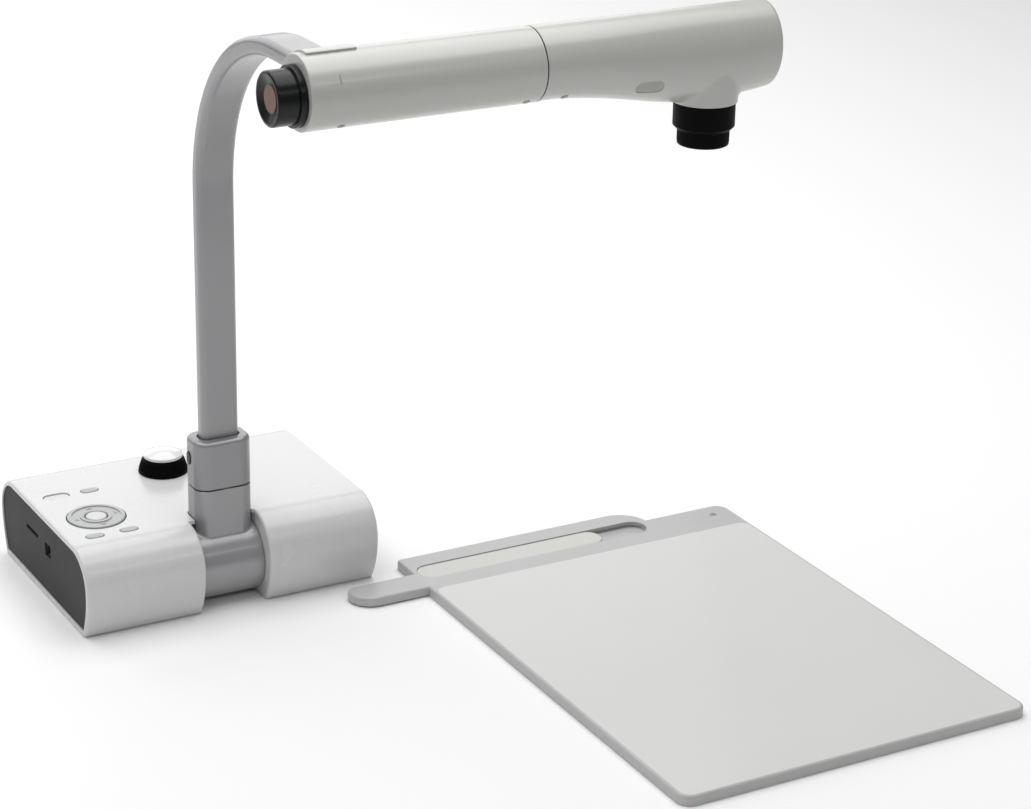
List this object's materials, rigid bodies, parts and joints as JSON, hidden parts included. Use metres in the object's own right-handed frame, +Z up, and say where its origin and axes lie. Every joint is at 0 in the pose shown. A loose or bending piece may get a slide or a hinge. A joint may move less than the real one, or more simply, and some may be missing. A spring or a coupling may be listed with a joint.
{
  "type": "document camera",
  "caption": "Document camera: weighted base with keys and dial, folding and turning flat arm, tube with turning lens head, and a loose stage board with a sliding bar.",
  "frame": {"origin": "on the table under the middle of the base", "axes": "+Z up, -Y towards the user, +X along the camera tube towards the lens"},
  "size_m": [0.59, 0.637, 0.5076],
  "materials": {
    "shell_white": "glossy",
    "tube_white": "pearl gloss",
    "panel_dark": "matte",
    "arm_grey": "satin grey coating",
    "collar_grey": "satin",
    "black_plastic": "satin black",
    "key_grey": "satin",
    "steel": "brushed",
    "zinc_plate": "zinc grey",
    "brass": "turned",
    "bearing_plastic": "natural",
    "rubber": "matte",
    "board_green": "solder mask",
    "socket_metal": "bright",
    "lens_glass": "coated",
    "window_brown": "dark smoked",
    "lamp_window": "frosted",
    "mirror": "front silvered",
    "stage_grey": "satin",
    "stage_white": "fine matte",
    "bar_light": "satin"
  },
  "bodies": {
    "base": {"upper_cover": "shell_white", "bottom_plate": "zinc_plate", "rubber_feet": "rubber", "bottom_screws": "steel", "left_end_panel": "panel_dark", "right_end_panel": "panel_dark", "ballast_plate": "steel", "main_board": "board_green", "sd_card_socket": "socket_metal", "usb_socket": "socket_metal", "video_sockets": "socket_metal", "hdmi_socket": "socket_metal", "power_socket": "black_plastic", "key_board": "board_green", "dial_encoder": "steel", "hinge_brackets": "zinc_plate", "hinge_axle": "steel", "disc_springs": "steel", "axle_nut": "steel"},
    "barrel": {"hinge_barrel": "arm_grey", "barrel_bushes": "brass", "swivel_bush": "brass", "swivel_washer": "bearing_plastic"},
    "arm": {"upper_collar": "collar_grey", "arm_strap": "arm_grey", "swivel_spindle": "steel", "spindle_nut": "steel", "rear_tube": "tube_white", "arm_saddle": "tube_white", "arm_anchor": "steel", "bearing_ring": "bearing_plastic", "seam_washer": "black_plastic"},
    "release": {"release_button": "black_plastic"},
    "knob": {"image_knob": "black_plastic", "ir_window": "window_brown", "camera_block": "black_plastic"},
    "head": {"head_shell": "tube_white", "led_window": "lamp_window", "led_board": "board_green", "mirror": "mirror", "lens_barrel": "black_plastic", "front_lens": "lens_glass"},
    "focus": {"focus_ring": "black_plastic"},
    "power_key": {"power_button": "key_grey"},
    "lamp_key": {"lamp_button": "key_grey"},
    "freeze_key": {"freeze_button": "key_grey"},
    "menu_key": {"menu_button": "key_grey"},
    "gimbal": {"pad_gimbal": "bearing_plastic"},
    "pad": {"pad_ring": "key_grey"},
    "pad_key": {"pad_centre": "shell_white"},
    "dial": {"zoom_dial": "black_plastic"},
    "af_key": {"af_button": "shell_white"},
    "stage": {"stage_tray": "stage_grey", "stage_panel": "stage_white", "stage_pads": "rubber", "stage_screw": "steel"},
    "bar": {"slide_bar": "bar_light"}
  },
  "joints": [
    {"name": "arm_fold", "type": "hinge", "parent": "base", "child": "barrel", "pos_m": [0.0019, -0.0595, 0.0315], "axis": [1, 0, 0], "range_deg": [0, 50]},
    {"name": "arm_swivel", "type": "hinge", "parent": "barrel", "child": "arm", "pos_m": [0.0035, -0.0595, 0.0986], "axis": [0, 0, 1], "range_deg": [-90, 90]},
    {"name": "release_press", "type": "slide", "parent": "arm", "child": "release", "axis": [1, 0, 0], "range_m": [0, 0.002], "stiffness_N_per_m": 300, "springref_m": -0.002},
    {"name": "image_knob_turn", "type": "hinge", "parent": "arm", "child": "knob", "pos_m": [-0.03, -0.267, 0.476], "axis": [1, 0, 0], "range_deg": [-90, 90]},
    {"name": "head_turn", "type": "hinge", "parent": "arm", "child": "head", "pos_m": [0.167, -0.267, 0.478], "axis": [1, 0, 0], "range_deg": [-90, 90]},
    {"name": "focus_turn", "type": "hinge", "parent": "head", "child": "focus", "pos_m": [0.32, -0.267, 0.405], "axis": [0, 0, 1], "range_deg": [-60, 60]},
    {"name": "power_press", "type": "slide", "parent": "base", "child": "power_key", "axis": [0, 0, -1], "range_m": [0, 0.001], "stiffness_N_per_m": 900, "springref_m": -0.0008},
    {"name": "lamp_press", "type": "slide", "parent": "base", "child": "lamp_key", "axis": [0, 0, -1], "range_m": [0, 0.0008], "stiffness_N_per_m": 900, "springref_m": -0.0008},
    {"name": "freeze_press", "type": "slide", "parent": "base", "child": "freeze_key", "axis": [0, 0, -1], "range_m": [0, 0.0008], "stiffness_N_per_m": 900, "springref_m": -0.0008},
    {"name": "menu_press", "type": "slide", "parent": "base", "child": "menu_key", "axis": [0, 0, -1], "range_m": [0, 0.0008], "stiffness_N_per_m": 900, "springref_m": -0.0008},
    {"name": "pad_tilt_x", "type": "hinge", "parent": "base", "child": "gimbal", "pos_m": [-0.09, -0.0248, 0.0645], "axis": [1, 0, 0], "range_deg": [-2, 2], "stiffness_Nm_per_rad": 0.8},
    {"name": "pad_tilt_y", "type": "hinge", "parent": "gimbal", "child": "pad", "pos_m": [-0.09, -0.0248, 0.0645], "axis": [0, 1, 0], "range_deg": [-2, 2], "stiffness_Nm_per_rad": 0.8},
    {"name": "pad_centre_press", "type": "slide", "parent": "base", "child": "pad_key", "axis": [0, 0, -1], "range_m": [0, 0.0008], "stiffness_N_per_m": 900, "springref_m": -0.0008},
    {"name": "zoom_turn", "type": "hinge", "parent": "base", "child": "dial", "pos_m": [-0.0045, 0.0405, 0.078], "axis": [0, 0, 1], "continuous": true},
    {"name": "af_press", "type": "slide", "parent": "dial", "child": "af_key", "axis": [0, 0, -1], "range_m": [0, 0.001], "stiffness_N_per_m": 900, "springref_m": -0.0008},
    {"name": "stage_lift", "type": "slide", "parent": "base", "child": "stage", "axis": [0, 0, 1], "range_m": [0, 0.1]},
    {"name": "bar_slide", "type": "slide", "parent": "stage", "child": "bar", "axis": [1, 0, 0], "range_m": [0, 0.044]}
  ]
}
